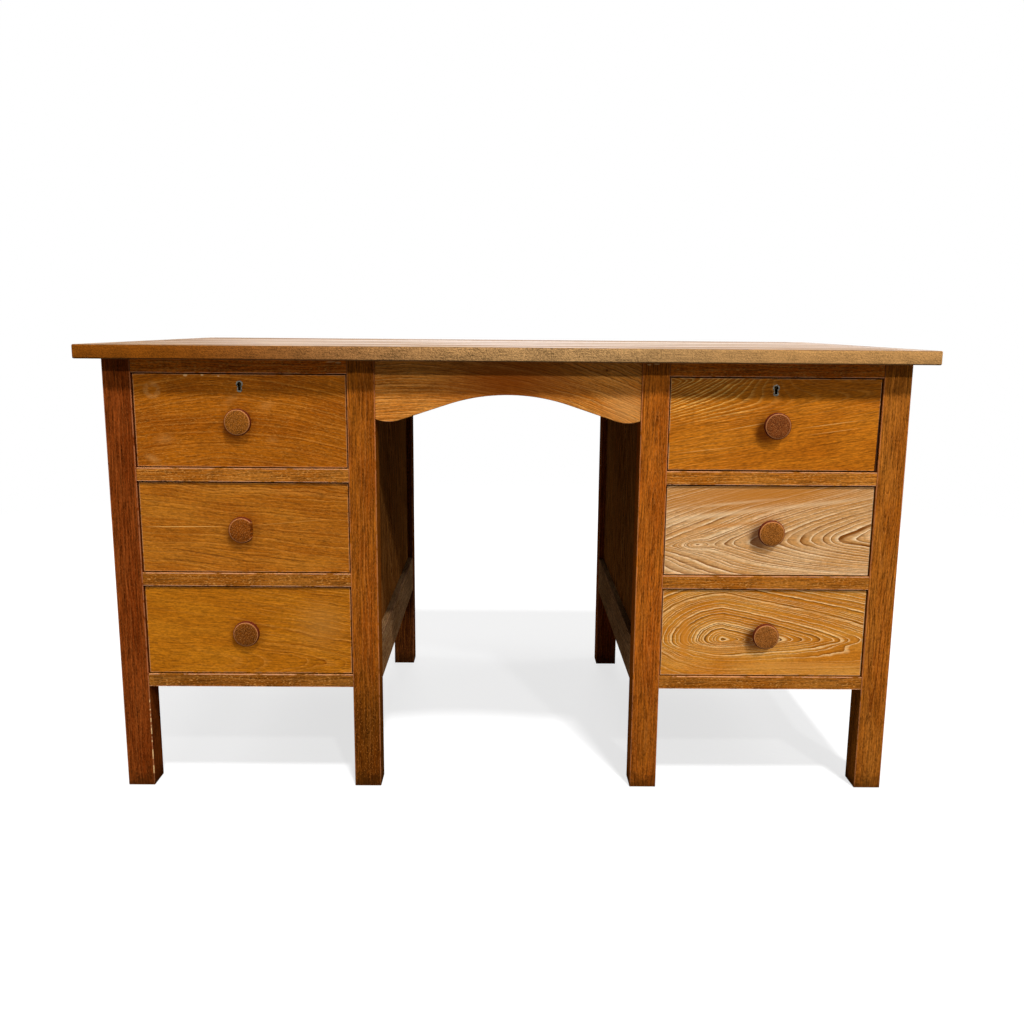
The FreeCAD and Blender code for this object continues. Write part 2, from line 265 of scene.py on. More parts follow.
def ringField(shader, look, along, across, deep):
    eyeAlong, eyeAcross = look["eye"]
    run = along - eyeAlong
    left, right = (run * -1).most(0), run.most(0)
    level = across - run * look["lean"] - run * run * (look["bend"] / 1000)
    below, above = (eyeAcross - level).most(0), (level - eyeAcross).most(0)
    sunk = deep + look["buried"] + left * look["round"][0] + right * look["round"][1]
    if look["pack"]:
        below = below + below.ease(0, look["pack"][0], 0, look["pack"][1])
    apart = below * look["squeeze"][0] + above * look["squeeze"][1]
    far = ringLook["straightAt"]
    kept = 1 - below.ease(0, far) * look["flatten"][0] - above.ease(0, far) * look["flatten"][1]
    radius = apart.diagonal(sunk) + (left * look["stretch"][0] + right * look["stretch"][1]) * kept
    for x, z, reach, drop in look["dimples"]:
        aside, rise = (along - x) * ringLook["dimpleStretch"], across - z
        radius = radius - aside.diagonal(rise).ease(reach, 0, 0, drop)
    broadPlace = shader.join(along / ringLook["broadStretch"], across, deep)
    finePlace = shader.join(along / ringLook["fineStretch"], across, deep)
    broad = shader.cloud(broadPlace, ringLook["broadScale"], detail=1.0) - 0.5
    fine = shader.cloud(finePlace, ringLook["fineScale"], detail=2.0) - 0.5
    broadWarp, fineWarp = [part * ringLook["warpReach"] for part in look["warp"]]
    return radius + broad * broadWarp + fine * fineWarp, level


# What all the woods share. Sizes are a length and a width in millimetres, and each "at" gives the levels of
# the noise between which a thing comes in.
grainLook = {
    "copyShift": 61.0,
    "pieceShift": 37.0,
    "copyRings": 3.3,
    "ringWander": 0.5,
    "ringStrength": (0.5, 0.6),
    "breakSize": (40, 14),
    "breakAt": (0.3, 0.55, 0.5, 1.0),
    "broadSize": (110, 30),
    "broadAt": (0.32, 0.68),
    "figureSway": 7,
    "fibreSize": (60, 2),
    "poreWidth": 1.3,
    "poreAt": (0.62, 0.7),
    "poreInPale": 0.04,
    "patchScale": 0.05,
    "wornAt": (0.36, 0.5),
    "wornReach": (1.4, 0.4),
    "fleckLean": 0.4,
    "fleckAt": (0.6, 0.68),
    "fleckPatches": (0.35, 0.5),
    "seamReach": (1.5, 0.5),
    "seamStrength": 0.8,
    "roughBy": {"patches": 0.25, "pore": 0.12, "worn": 0.1},
    "raisedBy": {"figure": 0.05, "pore": 0.07, "line": 0.03, "fibre": 0.04},
}
polishLook = {  # the top's polish, in streaks along its boards
    "streakSize": (600, 60),
    "boardStep": 0.22,
    "boardChance": 0.12,
    "shadeAt": (0.36, 0.6, 0.72, 1.08),
    "coatAt": (0.36, 0.62, 0.05, 1.0),
    "upperFace": (1.4, 0.4),
    "leftEnd": (-690, -250, 0.45, 1.0),
    "frontArris": (-380.5, -377),
    "roughness": 0.28,
}


def ringLines(shader, look, radius, place, pick, along, across):  # the dark line and pale band of each ring
    ring = radius / look["spacing"] + pick * grainLook["copyRings"]
    ring = ring + (shader.along(ring + look["seed"], grainLook["ringWander"]) - 0.5) * look["uneven"]
    phase = ring.fraction()
    least, more = grainLook["ringStrength"]
    strength = shader.chance(ring.floor() + look["seed"]) * more + least
    breaks = shader.grain(place, grainLook["breakSize"], detail=2.0)
    strength = strength * breaks.ease(*grainLook["breakAt"])
    if look["fade"]:
        strength = strength * along.ease(*look["fade"])
    if look["fadeLow"]:
        strength = strength * across.ease(*look["fadeLow"])
    line = phase.ease(1 - look["lineShare"], 1.0) * strength
    pale = phase.ease(look["paleShare"], 0.0) * strength
    return line, pale


def woodMaterial(name, box, axes, changes, copies=None, marks=()):
    look = {**woodLook, **changes}
    material, shader = newMaterial(name)
    local, half, pick = boardPlace(shader, box, copies or {})
    along, across, deep = [local["xyz".index(axis)] for axis in axes]
    if look["turnPast"]:  # the piece that closes the far end of a box has its grain the other way
        turned = local[1].above(half[1] - look["turnPast"])
        along, deep = along + (local[0] - along) * turned, deep + (local[1] - deep) * turned
    farAlong = along + (pick * grainLook["copyShift"] + look["seed"] * grainLook["pieceShift"])
    radius, level = ringField(shader, look, along, across, deep)
    place = (farAlong, level, deep)
    line, pale = ringLines(shader, look, radius, place, pick, along, across)

    broad = shader.grain(place, grainLook["broadSize"], detail=3.0)
    colour = shader.mix(broad.ease(*grainLook["broadAt"]), paint(*look["ground"]), paint(*look["second"]))
    colour = shader.mix(pale * look["paleStrength"], colour, paint(*look["pale"]))
    colour = shader.mix(line * look["lineStrength"], colour, paint(*look["line"]))

    length, width = look["figureSize"]
    curl = shader.join(farAlong / length, level / width + broad * grainLook["figureSway"], deep / width)
    figure = shader.cloud(curl, 1.0, detail=1.5).spread()
    mottle = shader.grain(place, look["mottleSize"]).spread()
    fibre = shader.grain(place, grainLook["fibreSize"], detail=2.0).spread()
    shade = 1 + figure * look["figure"] + mottle * look["mottle"] + fibre * look["fibre"]
    firstTone, toneStep = look["tones"]
    shade = shade * (firstTone + pick * toneStep)
    if look["wax"]:  # boards from different planks, polished in streaks
        length, width = polishLook["streakSize"]
        streakPlace = shader.join(farAlong / length, across / width, 0.0)
        streaks = shader.cloud(streakPlace, 1.0, detail=3.0, roughness=0.7)
        streaks = streaks + ((pick / 2).fraction() - 0.25) * polishLook["boardStep"]
        streaks = streaks + (shader.chance(pick + look["seed"]) - 0.5) * polishLook["boardChance"]
        shade = shade * streaks.ease(*polishLook["shadeAt"])
    if look["lowShade"]:
        shade = shade * along.ease(*look["lowShade"])
    colour = shader.shade(colour, shade)

    pore = shader.grain(place, (look["poreLength"], grainLook["poreWidth"]))
    pore = (pore + pale * grainLook["poreInPale"]).ease(*grainLook["poreAt"])
    colour = shader.mix(pore * look["pores"], colour, paint(*look["pore"]))

    patchPlace = shader.join(farAlong, across, deep)
    patches = shader.cloud(patchPlace, grainLook["patchScale"], detail=3.0, roughness=0.65)
    outer, inner = [look["wearWidth"] * part for part in grainLook["wornReach"]]
    worn = edgeDistance(local, half).ease(outer, inner) * patches.ease(*grainLook["wornAt"])
    colour = shader.mix(worn * look["wear"], colour, paint(*look["worn"]))
    if look["flecks"]:
        length, width = look["fleckSize"]
        leaning = farAlong / length + across / width * grainLook["fleckLean"]
        flecks = shader.cloud(shader.join(leaning, across / width, deep / width), 1.0, detail=1.0)
        flecks = flecks.ease(*grainLook["fleckAt"]) * patches.ease(*grainLook["fleckPatches"])
        colour = shader.mix(flecks * look["flecks"], colour, paint(*look["pale"]))
    if look["seam"]:
        outer, inner = [look["seam"] * part for part in grainLook["seamReach"]]
        gap = (half[1] - abs(local[1])).ease(outer, inner)
        colour = shader.mix(gap * grainLook["seamStrength"], colour, paint(*look["pore"]))
    for mark in marks:
        colour = mark(shader, colour, local)

    roughBy, raisedBy = grainLook["roughBy"], grainLook["raisedBy"]
    roughness = look["roughness"] + (patches - 0.5) * roughBy["patches"]
    roughness = roughness + pore * roughBy["pore"] + worn * roughBy["worn"]
    height = figure * raisedBy["figure"] - pore * raisedBy["pore"]
    height = height - line * raisedBy["line"] + fibre * raisedBy["fibre"]
    others = {"Specular IOR Level": look["gloss"]}
    if look["wax"]:  # the polish is on the upper face only, thinner at the left and worn off the front arris
        upper = (half[2] - local[2]).ease(*polishLook["upperFace"])
        x, y = shader.place()[:2]
        kept = x.ease(*polishLook["leftEnd"]) * y.ease(*polishLook["frontArris"])
        others["Coat Weight"] = streaks.ease(*polishLook["coatAt"]) * upper * kept * look["wax"]
        others["Coat Roughness"] = polishLook["roughness"]
    finishMaterial(shader, colour, roughness, height, others)
    return material


def dress(node, material):
    for place in nodes[node].material_slots:
        place.material = material


softLook = {"weldMm": 0.01, "segments": 2, "sharpDegrees": 40}


def softenEdges(node, width):
    weld = nodes[node].modifiers.new("weld", "WELD")
    weld.merge_threshold = softLook["weldMm"] * mm
    bevel = nodes[node].modifiers.new("soft edges", "BEVEL")
    bevel.width = width * mm
    bevel.segments = softLook["segments"]
    bevel.limit_method = "ANGLE"
    bevel.angle_limit = math.radians(softLook["sharpDegrees"])


# Marks that years of use left on the wood, and painted light and shade. Places are in millimetres from the
# middle of the piece.
markLook = {
    "ringPale": (212, 152, 84),
    "ringScale": 0.12,
    "ringAt": (0.3, 0.55),
    "shadowAndGrimeTint": (66, 16, 0),
    "gapRim": (1.1, 0.5),
    "gapDepth": (16, 6),
    "gapStrength": 0.8,
    "gapShadeAndDirt": (44, 14, 4),
    "slitWidth": (0.3, 1.5),
    "slitAside": (1.15, 0.85),
    "slitBelow": (1.5, 0.9),
    "slitStrength": 0.92,
    "slitShadeTint": (34, 8, 4),
    "keyholeReach": (12, 11),
    "keyholeFace": -9.6,
    "keyholeDark": (10, 5, 2),
    "underTopBlur": 5,
    "legHalf": (22.5, 364.5),
    "footHeight": (34, 2),
    "footUneven": 60,
    "footScale": 0.07,
    "footStrength": 0.65,
    "footDirt": (44, 24, 6),
    "railTop": (36.4, 37.6, 1.0, 0.35),
}


def spots(places, edge=0.6):  # each place: x, z, half length, half height, slope, colour, strength
    def mark(shader, colour, local):
        for x, z, length, height, slope, tint, strength in places:
            aside = local[0] - x
            rise = local[2] - z - aside * slope
            away = (aside / length).diagonal(rise / height)
            colour = shader.mix(away.ease(1.0, edge) * strength, colour, paint(*tint))
        return colour

    return mark


def glassRing(x, z, radius, width, strength):  # the pale ring that a wet glass leaves
    def mark(shader, colour, local):
        aside, rise = local[0] - x, local[2] - z
        away = abs(aside.diagonal(rise) - radius)
        patchy = shader.cloud(shader.join(*local), markLook["ringScale"], detail=3.0)
        amount = away.ease(width, width * 0.2) * patchy.ease(*markLook["ringAt"]) * strength
        return shader.mix(amount, colour, paint(*markLook["ringPale"]))

    return mark


def knobShadowAndGrime(strength):  # darker around the knob: hand grime, and a painted shadow of the knob below and to its left
    # the wide spot is hand grime with a faint painted shadow, the low one a painted shadow under the head
    wide = (-4, -8, 40, 37, 0.1, markLook["shadowAndGrimeTint"], strength * 0.7)
    low = (-10, -10, 26, 24, 0.1, markLook["shadowAndGrimeTint"], strength * 1.2)
    return spots([wide, low], edge=0.5)


def gapShadeAndDirt(half):  # painted shade in the gap, with some dirt: the sides of a drawer front are dark near its face
    def mark(shader, colour, local):
        inward = (half[0] - abs(local[0])).least(half[2] - abs(local[2])).ease(*markLook["gapRim"])
        behind = (local[1] + half[1]).ease(*markLook["gapDepth"])
        return shader.mix(inward * behind * markLook["gapStrength"], colour, paint(*markLook["gapShadeAndDirt"]))

    return mark


def paintedSlit(half):  # this drawer hangs a little to the left, so its gap is wider below and at the right: that slit is painted on its face as dark shade
    def mark(shader, colour, local):
        least, more = markLook["slitWidth"]
        width = (half[2] - local[2]) * (more / half[2]) + least
        aside = ((half[0] - local[0]) / width).ease(*markLook["slitAside"])
        below = (local[2] + half[2]).ease(*markLook["slitBelow"])
        return shader.mix(aside.most(below) * markLook["slitStrength"], colour, paint(*markLook["slitShadeTint"]))

    return mark


def keyholeShade(x, z):  # painted shade, as no light reaches into the keyhole
    def mark(shader, colour, local):
        aside, rise = local[0] - x, local[2] - z
        near = aside.diagonal(rise).ease(*markLook["keyholeReach"])
        behind = local[1].above(markLook["keyholeFace"])
        return shader.mix(near * behind, colour, paint(*markLook["keyholeDark"]))

    return mark


def underTopLightAndShade(level, shade):  # painted light and shade on the strip under the overhanging top: a shade above 1 lightens it, one below 1 darkens it
    def mark(shader, colour, local):
        blur = markLook["underTopBlur"]
        return shader.shade(colour, local[2].ease(level - blur, level + blur, 1.0, shade))

    return mark


def footDirt(shader, colour, local):
    height = local[2] + markLook["legHalf"][1]
    patches = shader.cloud(shader.join(*local), markLook["footScale"], detail=4.0, roughness=0.7)
    dirt = (height + (patches - 0.5) * markLook["footUneven"]).ease(*markLook["footHeight"])
    return shader.mix(dirt * markLook["footStrength"], colour, paint(*markLook["footDirt"]))


def railTopShade(shader, colour, local):  # painted shade: the upper faces of the side rails are darker
    return shader.shade(colour, local[2].ease(*markLook["railTop"]))


# Drawer fronts
amberFront = {
    "ground": (170, 98, 20),
    "second": (150, 80, 10),
    "pale": (204, 136, 56),
    "line": (108, 50, 6),
    "worn": (208, 148, 100),
    "lineStrength": 0.5,
    "lineShare": 0.35,
    "paleStrength": 0.35,
    "spacing": 4.6,
    "uneven": 2.4,
    "figure": 0.3,
    "figureSize": (18.0, 2.5),
    "mottle": 0.36,
    "mottleSize": (5.0, 1.8),
    "fibre": 0.3,
    "pores": 0.12,
    "flecks": 0.22,
    "wear": 0.6,
    "wearWidth": 1.7,
}
elmFront = {
    **amberFront,
    "ground": (196, 128, 50),
    "second": (180, 104, 24),
    "pale": (240, 196, 136),
    "line": (120, 66, 14),
    "worn": (224, 176, 130),
    "lineStrength": 0.85,
    "paleStrength": 0.85,
    "figure": 0.2,
    "figureSize": (9.0, 3.0),
    "mottle": 0.2,
    "mottleSize": (4.0, 2.0),
    "fibre": 0.2,
    "uneven": 1.2,
    "flecks": 0.0,
}
frontLooks = {
    "left_top": {
        **amberFront,
        "ground": (160, 88, 9),
        "second": (141, 72, 4),
        "eye": (-35, -150),
        "bend": -0.65,
        "warp": (5.0, 0.8),
        "flecks": 0.35,
        "seed": 2,
    },
    "left_middle": {
        **amberFront,
        "ground": (167, 100, 23),
        "second": (151, 83, 12),
        "eye": (-160, 104),
        "lean": -0.1,
        "seed": 7,
    },
    "left_bottom": {
        **amberFront,
        "ground": (173, 105, 17),
        "second": (161, 93, 11),
        "eye": (-220, -40),
        "stretch": (0.0, 0.12),
        "lean": -0.05,
        "flecks": 0.0,
        "fade": (-60, 60, 0.3, 1.2),
        "seed": 11,
    },
    "right_top": {
        **elmFront,
        "ground": (182, 106, 20),
        "second": (168, 92, 12),
        "pale": (244, 186, 96),
        "eye": (-176, 66),
        "lean": 0.14,
        "stretch": (0.0, 0.36),
        "flatten": (0.8, 0.0),
        "buried": 12.0,
        "spacing": 4.2,
        "warp": (2.0, 0.5),
        "paleShare": 0.5,
        "paleStrength": 0.95,
        "lineStrength": 0.4,
        "fade": (-90, 20, 1.0, 0.15),
        "fadeLow": (-6, 26, 0.16, 1.0),
        "figure": 0.32,
        "figureSize": (24.0, 2.6),
        "mottle": 0.45,
        "mottleSize": (8.0, 1.7),
        "fibre": 0.35,
        "seed": 5,
    },
    "right_middle": {
        **elmFront,
        "ground": (206, 160, 108),
        "second": (194, 138, 76),
        "pale": (246, 214, 168),
        "line": (120, 66, 18),
        "eye": (172, -10),
        "lean": 0.05,
        "round": (-0.045, 0.3),
        "stretch": (0.18, 0.3),
        "squeeze": (0.85, 0.62),
        "flatten": (0.5, 0.2),
        "dimples": ((-121, -24, 15, 6.0), (128, -14, 20, 2.5)),
        "buried": 27.0,
        "spacing": 2.8,
        "uneven": 1.6,
        "warp": (1.0, 0.24),
        "lineShare": 0.42,
        "lineStrength": 1.0,
        "paleShare": 0.42,
        "paleStrength": 0.9,
        "seed": 8,
    },
    "right_bottom": {
        **elmFront,
        "ground": (198, 132, 48),
        "second": (184, 110, 26),
        "pale": (248, 208, 144),
        "line": (98, 48, 6),
        "lineStrength": 1.0,
        "paleStrength": 0.9,
        "eye": (-68, -12),
        "round": (0.62, 0.02),
        "stretch": (0.0, 0.24),
        "pack": (24, 26),
        "flatten": (0.9, 0.2),
        "fadeLow": (-52, -34, 0.25, 1.0),
        "buried": 12.0,
        "spacing": 4.2,
        "uneven": 2.2,
        "warp": (1.6, 0.8),
        "lineShare": 0.36,
        "paleShare": 0.4,
        "seed": 9,
    },
}
chip, scar, crack = (232, 190, 130), (222, 164, 90), (70, 28, 6)
golden, cream = (202, 128, 48), (232, 196, 150)
amberLine, strawLine, dryPatch = (226, 170, 92), (214, 150, 70), (176, 120, 52)
frontMarks = {
    "left_top": [
        glassRing(-141, 49, 10, 6, 0.26),
        spots([
            (-86, 73, 4, 2.4, 0, chip, 0.65),
            (-59, 73.5, 3, 1.6, 0, chip, 0.6),
            (-33, 72, 2.4, 1.4, 0, chip, 0.5),
        ]),
        spots([
            (42, 25, 20, 11, 0.2, scar, 0.14),
            (50, -30, 16, 9, 0, scar, 0.11),
            (-125, -30, 26, 12, 0.1, scar, 0.14),
            (-146, -62, 18, 10, -0.3, scar, 0.24),
            (-14, 35, 20, 10, 0.5, scar, 0.1),
        ], edge=0),
        underTopLightAndShade(44, 1.2),
        keyholeShade(0, 59.5),
    ],
    "left_middle": [
        spots([
            (-100, 1, 72, 0.9, 0.01, amberLine, 0.65),
            (62, 8, 94, 0.8, 0.09, strawLine, 0.35),
            (90, -19, 1.3, 1.3, 0, crack, 0.9),
            (-60, -46, 110, 1.3, -0.17, crack, 0.5),
            (-90, -58, 80, 1.2, -0.1, crack, 0.4),
            (40, -50, 90, 1.2, -0.12, crack, 0.4),
        ]),
    ],
    "left_bottom": [
        spots([
            (118, 62, 22, 0.9, -0.08, crack, 0.5),
            (98, 56, 18, 0.8, -0.05, crack, 0.45),
            (146, -40, 8, 0.9, 0.5, crack, 0.45),
            (148, -50, 9, 0.9, 0.35, crack, 0.4),
        ]),
        spots([(120, 10, 60, 60, 0, dryPatch, 0.4)], edge=0),
    ],
    "right_top": [
        spots([
            (-40, -2, 60, 1.0, 0.19, (236, 178, 100), 0.5),
            (-110, -42, 66, 1.0, 0.12, scar, 0.5),
            (-60, -30, 96, 1.2, 0.17, crack, 0.3),
            (70, -34, 110, 1.2, 0.16, crack, 0.25),
            (96, 2, 66, 1.1, 0.14, scar, 0.6),
            (100, -10, 60, 0.9, 0.14, scar, 0.5),
        ], edge=0.2),
        underTopLightAndShade(42, 0.68),
        keyholeShade(0, 59.5),
    ],
    "right_middle": [
        spots([
            (-20, 62, 300, 46, 0.06, (184, 114, 38), 0.9),
            (-90, 26, 150, 7, 0.13, cream, 0.6),
            (90, 47, 120, 6, 0.12, cream, 0.5),
            (-80, 8, 120, 6, 0.11, golden, 0.6),
            (-60, 46, 120, 4, 0.11, cream, 0.4),
        ], edge=0),
    ],
    "right_bottom": [
        spots([
            (-132, -6, 13, 50, -0.06, (198, 122, 36), 0.8),
            (60, -58, 150, 9, 0.0, (204, 138, 60), 0.5),
        ], edge=0.2),
        spots([(28, -30, 3, 1.4, 0.3, crack, 0.3)]),
    ],
}
knobShadowAndGrimeStrength = {"left_top": 0.5, "left_middle": 0.45, "left_bottom": 0.45}

for place, changes in frontLooks.items():
    node = place + "_drawer_front"
    size = [(high - low) / 2 / mm for low, high in zip(*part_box(node))]
    marks = frontMarks[place] + [knobShadowAndGrime(knobShadowAndGrimeStrength.get(place, 0.55)), gapShadeAndDirt(size)]
    if place == "right_top":
        marks.append(paintedSlit(size))
    dress(node, woodMaterial(place + "_front_wood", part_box(node), "xzy", changes, marks=marks))
    softenEdges(node, 0.5)
print("drawer fronts dressed")


# The carcase
legLook = {
    "ground": (142, 74, 18),
    "second": (124, 58, 10),
    "pale": (176, 106, 44),
    "line": (92, 38, 6),
    "pore": (70, 28, 6),
    "worn": (186, 120, 78),
    "eye": (0, 150),
    "buried": 140.0,
    "spacing": 4.6,
    "figure": 0.4,
    "figureSize": (22.0, 2.6),
    "mottle": 0.4,
    "fibre": 0.6,
    "wear": 0.5,
    "pores": 0.3,
    "flecks": 0.55,
    "gloss": 0.0,
}


chippedArris = {
    "reach": (1.9, 0.9),
    "upTo": (-205, -215),
    "from": (-350, -340),
    "scale": 0.07,
    "at": (0.46, 0.54),
    "strength": 0.8,
}


def arrisChips(shader, colour, local):  # pale chips low on the front arris that faces the kneehole
    side = markLook["legHalf"][0]
    aside, forward = local[0] - side, local[1] + side
    near = aside.diagonal(forward).ease(*chippedArris["reach"])
    low = local[2].ease(*chippedArris["upTo"]) * local[2].ease(*chippedArris["from"])
    patches = shader.along(local[2], chippedArris["scale"], detail=2.0).ease(*chippedArris["at"])
    return shader.mix(near * low * patches * chippedArris["strength"], colour, paint(*chip))


legMarks = {
    "left_outer_front": [arrisChips],
    "right_inner_front": [spots([(-12, 361, 4, 1.4, 0, chip, 0.6), (0, 362, 6, 1.2, 0, chip, 0.6)])],
}
# The front legs at the left are darker, partly their own tone and partly painted shade for the weaker light
# there.
legLooks = {
    "left_outer_front": {
        "ground": (120, 56, 16),
        "second": (102, 42, 8),
        "pale": (146, 78, 32),
        "lowShade": (-340, -160, 0.92, 1.0),
    },
    "left_inner_front": {
        "ground": (147, 81, 18),
        "second": (131, 65, 11),
        "lowShade": (-250, -100, 0.41, 1.0),
    },
    "right_inner_front": {
        "ground": (167, 91, 22),
        "second": (150, 74, 14),
        "lowShade": (-250, -100, 0.74, 1.0),
        "eye": (70, 4),
        "buried": 26.0,
        "stretch": (0.07, 0.1),
        "spacing": 3.4,
        "lineStrength": 0.65,
    },
    "right_outer_front": {
        "ground": (163, 96, 29),
        "second": (146, 78, 16),
        "lowShade": (-250, -100, 0.85, 1.0),
        "eye": (270, -4),
        "buried": 26.0,
        "stretch": (0.08, 0.1),
        "spacing": 3.4,
        "lineStrength": 0.65,
    },
    "left_outer_back": {"ground": (130, 72, 24)},
    "left_inner_back": {"ground": (94, 48, 20), "second": (82, 38, 13)},
    "right_inner_back": {"ground": (128, 60, 24), "second": (114, 48, 16)},
    "right_outer_back": {"ground": (130, 72, 24)},
}
for seed, (place, changes) in enumerate(legLooks.items()):
    node = place + "_leg"
    marks = [footDirt] + legMarks.get(place, [])
    look = {**legLook, "seed": seed, **changes}
    dress(node, woodMaterial(place + "_leg_wood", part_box(node), "zxy", look, marks=marks))
    softenEdges(node, 1.0)
print("legs dressed")

railLook = {
    "ground": (168, 102, 32),
    "second": (148, 82, 16),
    "pale": (204, 142, 70),
    "line": (108, 54, 10),
    "worn": (214, 156, 118),
    "eye": (0, 60),
    "buried": 60.0,
    "spacing": 3.6,
    "lineStrength": 0.6,
    "pores": 0.35,
    "poreLength": 12.0,
    "figure": 0.5,
    "figureSize": (22.0, 2.6),
    "mottle": 0.5,
    "wear": 0.7,
    "wearWidth": 1.2,
    "flecks": 0.7,
    "gloss": 0.02,
}
innerLook = {
    **railLook,
    "ground": (156, 118, 80),
    "second": (140, 100, 62),
    "pale": (176, 138, 96),
    "gloss": 0.0,
    "wear": 0.3,
}
topRailLook = {**railLook, "ground": (194, 102, 18), "second": (176, 86, 10)}
panelLook = {
    "ground": (156, 96, 40),
    "second": (140, 80, 26),
    "pale": (190, 134, 74),
    "line": (94, 46, 8),
    "eye": (20, -40),
    "round": (0.1, 0.1),
    "stretch": (0.1, 0.1),
    "buried": 14.0,
    "spacing": 7.0,
    "warp": (9.0, 1.4),
    "lineShare": 0.4,
    "lineStrength": 0.8,
    "paleStrength": 0.7,
    "figure": 0.7,
    "roughness": 0.66,
    "gloss": 0.0,
}
shadedPanelLook = {
    **panelLook,
    "line": (66, 28, 4),
    "lineShare": 0.5,
    "lineStrength": 1.0,
    "warp": (9.0, 2.4),
    "figure": 0.8,
    "figureSize": (40.0, 5.0),
    "mottle": 0.5,
}
liningLook = {
    "ground": (200, 158, 104),
    "second": (184, 138, 84),
    "pale": (216, 180, 128),
    "line": (156, 108, 56),
    "pore": (120, 78, 40),
    "worn": (168, 126, 78),
    "lineStrength": 0.4,
    "figure": 0.3,
    "mottle": 0.15,
    "wear": 0.5,
    "flecks": 0.2,
    "roughness": 0.68,
}
apronLook = {
    **railLook,
    "ground": (196, 124, 48),
    "second": (178, 102, 28),
    "pale": (220, 158, 84),
    "eye": (-60, 150),
    "bend": -0.7,
    "buried": 60.0,
    "lean": -0.12,
    "spacing": 4.4,
    "lineStrength": 0.8,
    "paleStrength": 0.6,
    "figure": 0.4,
    "mottle": 0.3,
    "pores": 0.15,
    "flecks": 0.3,
    "seed": 3,
}
apronMarks = [
    spots([(0, 16, 175, 64, 0, (150, 64, 0), 0.8), (190, -26, 60, 44, 0, (206, 148, 84), 0.4)], edge=0),
    spots([(158, 36, 2.6, 2.2, 0, crack, 0.75), (158, 36, 9, 4, 0, (120, 62, 14), 0.4)]),
    spots([
        (20, 20, 110, 0.9, -0.2, (110, 58, 12), 0.55),
        (50, 2, 90, 0.8, -0.16, (110, 58, 12), 0.5),
    ], edge=0.1),
]
pieceWidth = {
    "frameRail": 76.0,
    "backRail": 381.5,
    "backPanel": 361.5,
    "frontRail": 22.0,
    "board": 152.4,
    "end": 40.0,
}


def dressPiece(node, axes, look, copies=None, marks=(), soft=0.0):
    dress(node, woodMaterial(node + "_wood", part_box(node), axes, look, copies, marks))
    if soft:
        softenEdges(node, soft)


dressPiece("arched_apron", "xzy", apronLook, marks=apronMarks, soft=0.8)
dressPiece("kneehole_back_rail", "xzy", {**railLook, "seed": 4}, soft=0.8)
railTones = {"left": (0.62, 0.18), "right": (0.83, 0.13)}
topRailMarks = {"left": [spots([(148, 8, 9, 1.4, 0.1, chip, 0.5), (160, 7, 6, 1.8, 0, chip, 0.5)])]}
for index, side in enumerate(("left", "right")):
    for layer, frameName in enumerate(("outer", "inner")):
        seed = index * 2 + layer
        rails = innerLook if frameName == "inner" else railLook
        node = side + "_" + frameName + "_side"
        copies = {"z": (2, pieceWidth["frameRail"])}
        dressPiece(node + "_rails", "yzx", {**rails, "seed": 10 + seed}, copies, [railTopShade], soft=0.8)
        panel = shadedPanelLook if frameName == "inner" else panelLook
        dressPiece(node + "_panel", "zyx", {**panel, "seed": 20 + seed})
    scuffs = topRailMarks.get(side, [])
    dressPiece(side + "_top_rail", "xzy", {**topRailLook, "seed": 30 + index}, marks=scuffs, soft=0.6)
    tones = {"tones": railTones[side], "seed": 32 + index}
    copies = {"z": (3, pieceWidth["frontRail"])}
    dressPiece(side + "_drawer_rails", "xzy", {**railLook, **tones}, copies, soft=0.6)
    dressPiece(side + "_drawer_runners", "yzx", {**liningLook, "seed": 34 + index})
backCopies = {"x": (2, pieceWidth["backRail"]), "z": (2, pieceWidth["frameRail"])}
dressPiece("back_rails", "xzy", railLook, backCopies, soft=0.8)
dressPiece("back_panels", "zxy", {**panelLook, "seed": 40}, {"x": (2, pieceWidth["backPanel"])})
dressPiece("drawer_stops", "xzy", liningLook)
print("carcase dressed")

topLook = {
    "ground": (136, 97, 46),
    "second": (120, 79, 32),
    "pale": (168, 130, 78),
    "line": (88, 52, 22),
    "pore": (80, 40, 14),
    "worn": (196, 150, 104),
    "eye": (0, 0),
    "round": (0.01, 0.014),
    "buried": 14.0,
    "spacing": 6.0,
    "lineStrength": 0.6,
    "pores": 0.6,
    "seam": 0.5,
    "roughness": 0.5,
    "gloss": 0.03,
    "wax": 0.95,
    "wear": 0.4,
}
edgeLook = {  # places along the top's front edge, in millimetres from its middle, and the tints between them
    "left": (126, 68, 12),
    "middle": (172, 132, 84),
    "right": (184, 136, 80),
    "leftToMiddle": (-560, 90),
    "middleToRight": (150, 560),
    "dotSize": (1.7, 1.5),
    "speckleSize": (3.8, 3),
    "streakSize": (24, 2.4),
    "blotSize": (40, 20),
    "shares": (0.7, 0.5, 0.35, 0.3),
    "smoothLeft": (-620, -100, 0.6, 1.0),
    "smoothRight": (60, 360, 1.0, 0.6),
    "upright": (0.87, 1.05),
    "arris": (2.2, 0.6),
    "arrisShade": (0.65, 0.4),
    "darkLeft": (-690, -300, 0.8, 1.0),
    "depth": (1.6, 0.4),
}
topSpan = [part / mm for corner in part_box("top_boards") for part in corner]
frontFace, underside, upperFace = topSpan[1], topSpan[2], topSpan[5]


def edgeCloud(shader, place, size, detail):
    along, deep, across = place
    return shader.cloud(shader.join(along / size[0], deep, across / size[1]), 1.0, detail)


